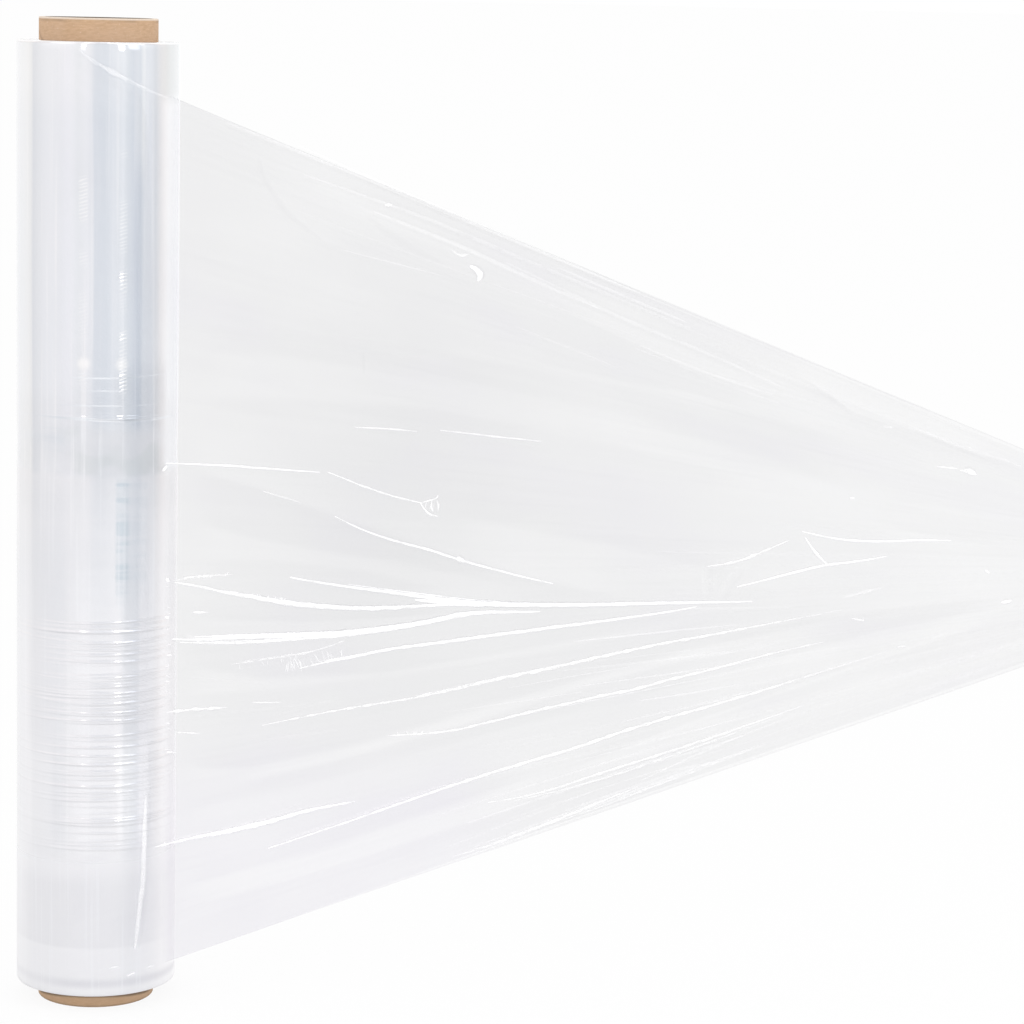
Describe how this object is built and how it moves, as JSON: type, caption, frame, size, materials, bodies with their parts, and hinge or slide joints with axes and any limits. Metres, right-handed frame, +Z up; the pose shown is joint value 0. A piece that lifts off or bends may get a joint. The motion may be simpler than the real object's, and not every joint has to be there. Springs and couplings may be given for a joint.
{
  "type": "stretch wrap roll",
  "caption": "Upright roll of clear stretch film on a cardboard core, with a first length of film drawn off to one side and gathered in thin folds.",
  "frame": {"origin": "middle of the core's lower end, on the core's axis", "axes": "+Z up along the core, +X the way the film is drawn off, -Y the roll's front, where the film leaves it"},
  "size_m": [0.5139, 0.0831, 0.4762],
  "materials": {
    "core_board": "matt kraft paperboard, spirally wound",
    "wound_film": "glossy clear film, milky where many turns lie on each other",
    "drawn_film": "one layer of clear glossy film"
  },
  "bodies": {
    "root": {"core": "core_board", "film_roll": "wound_film", "film_tail": "drawn_film"}
  },
  "joints": []
}
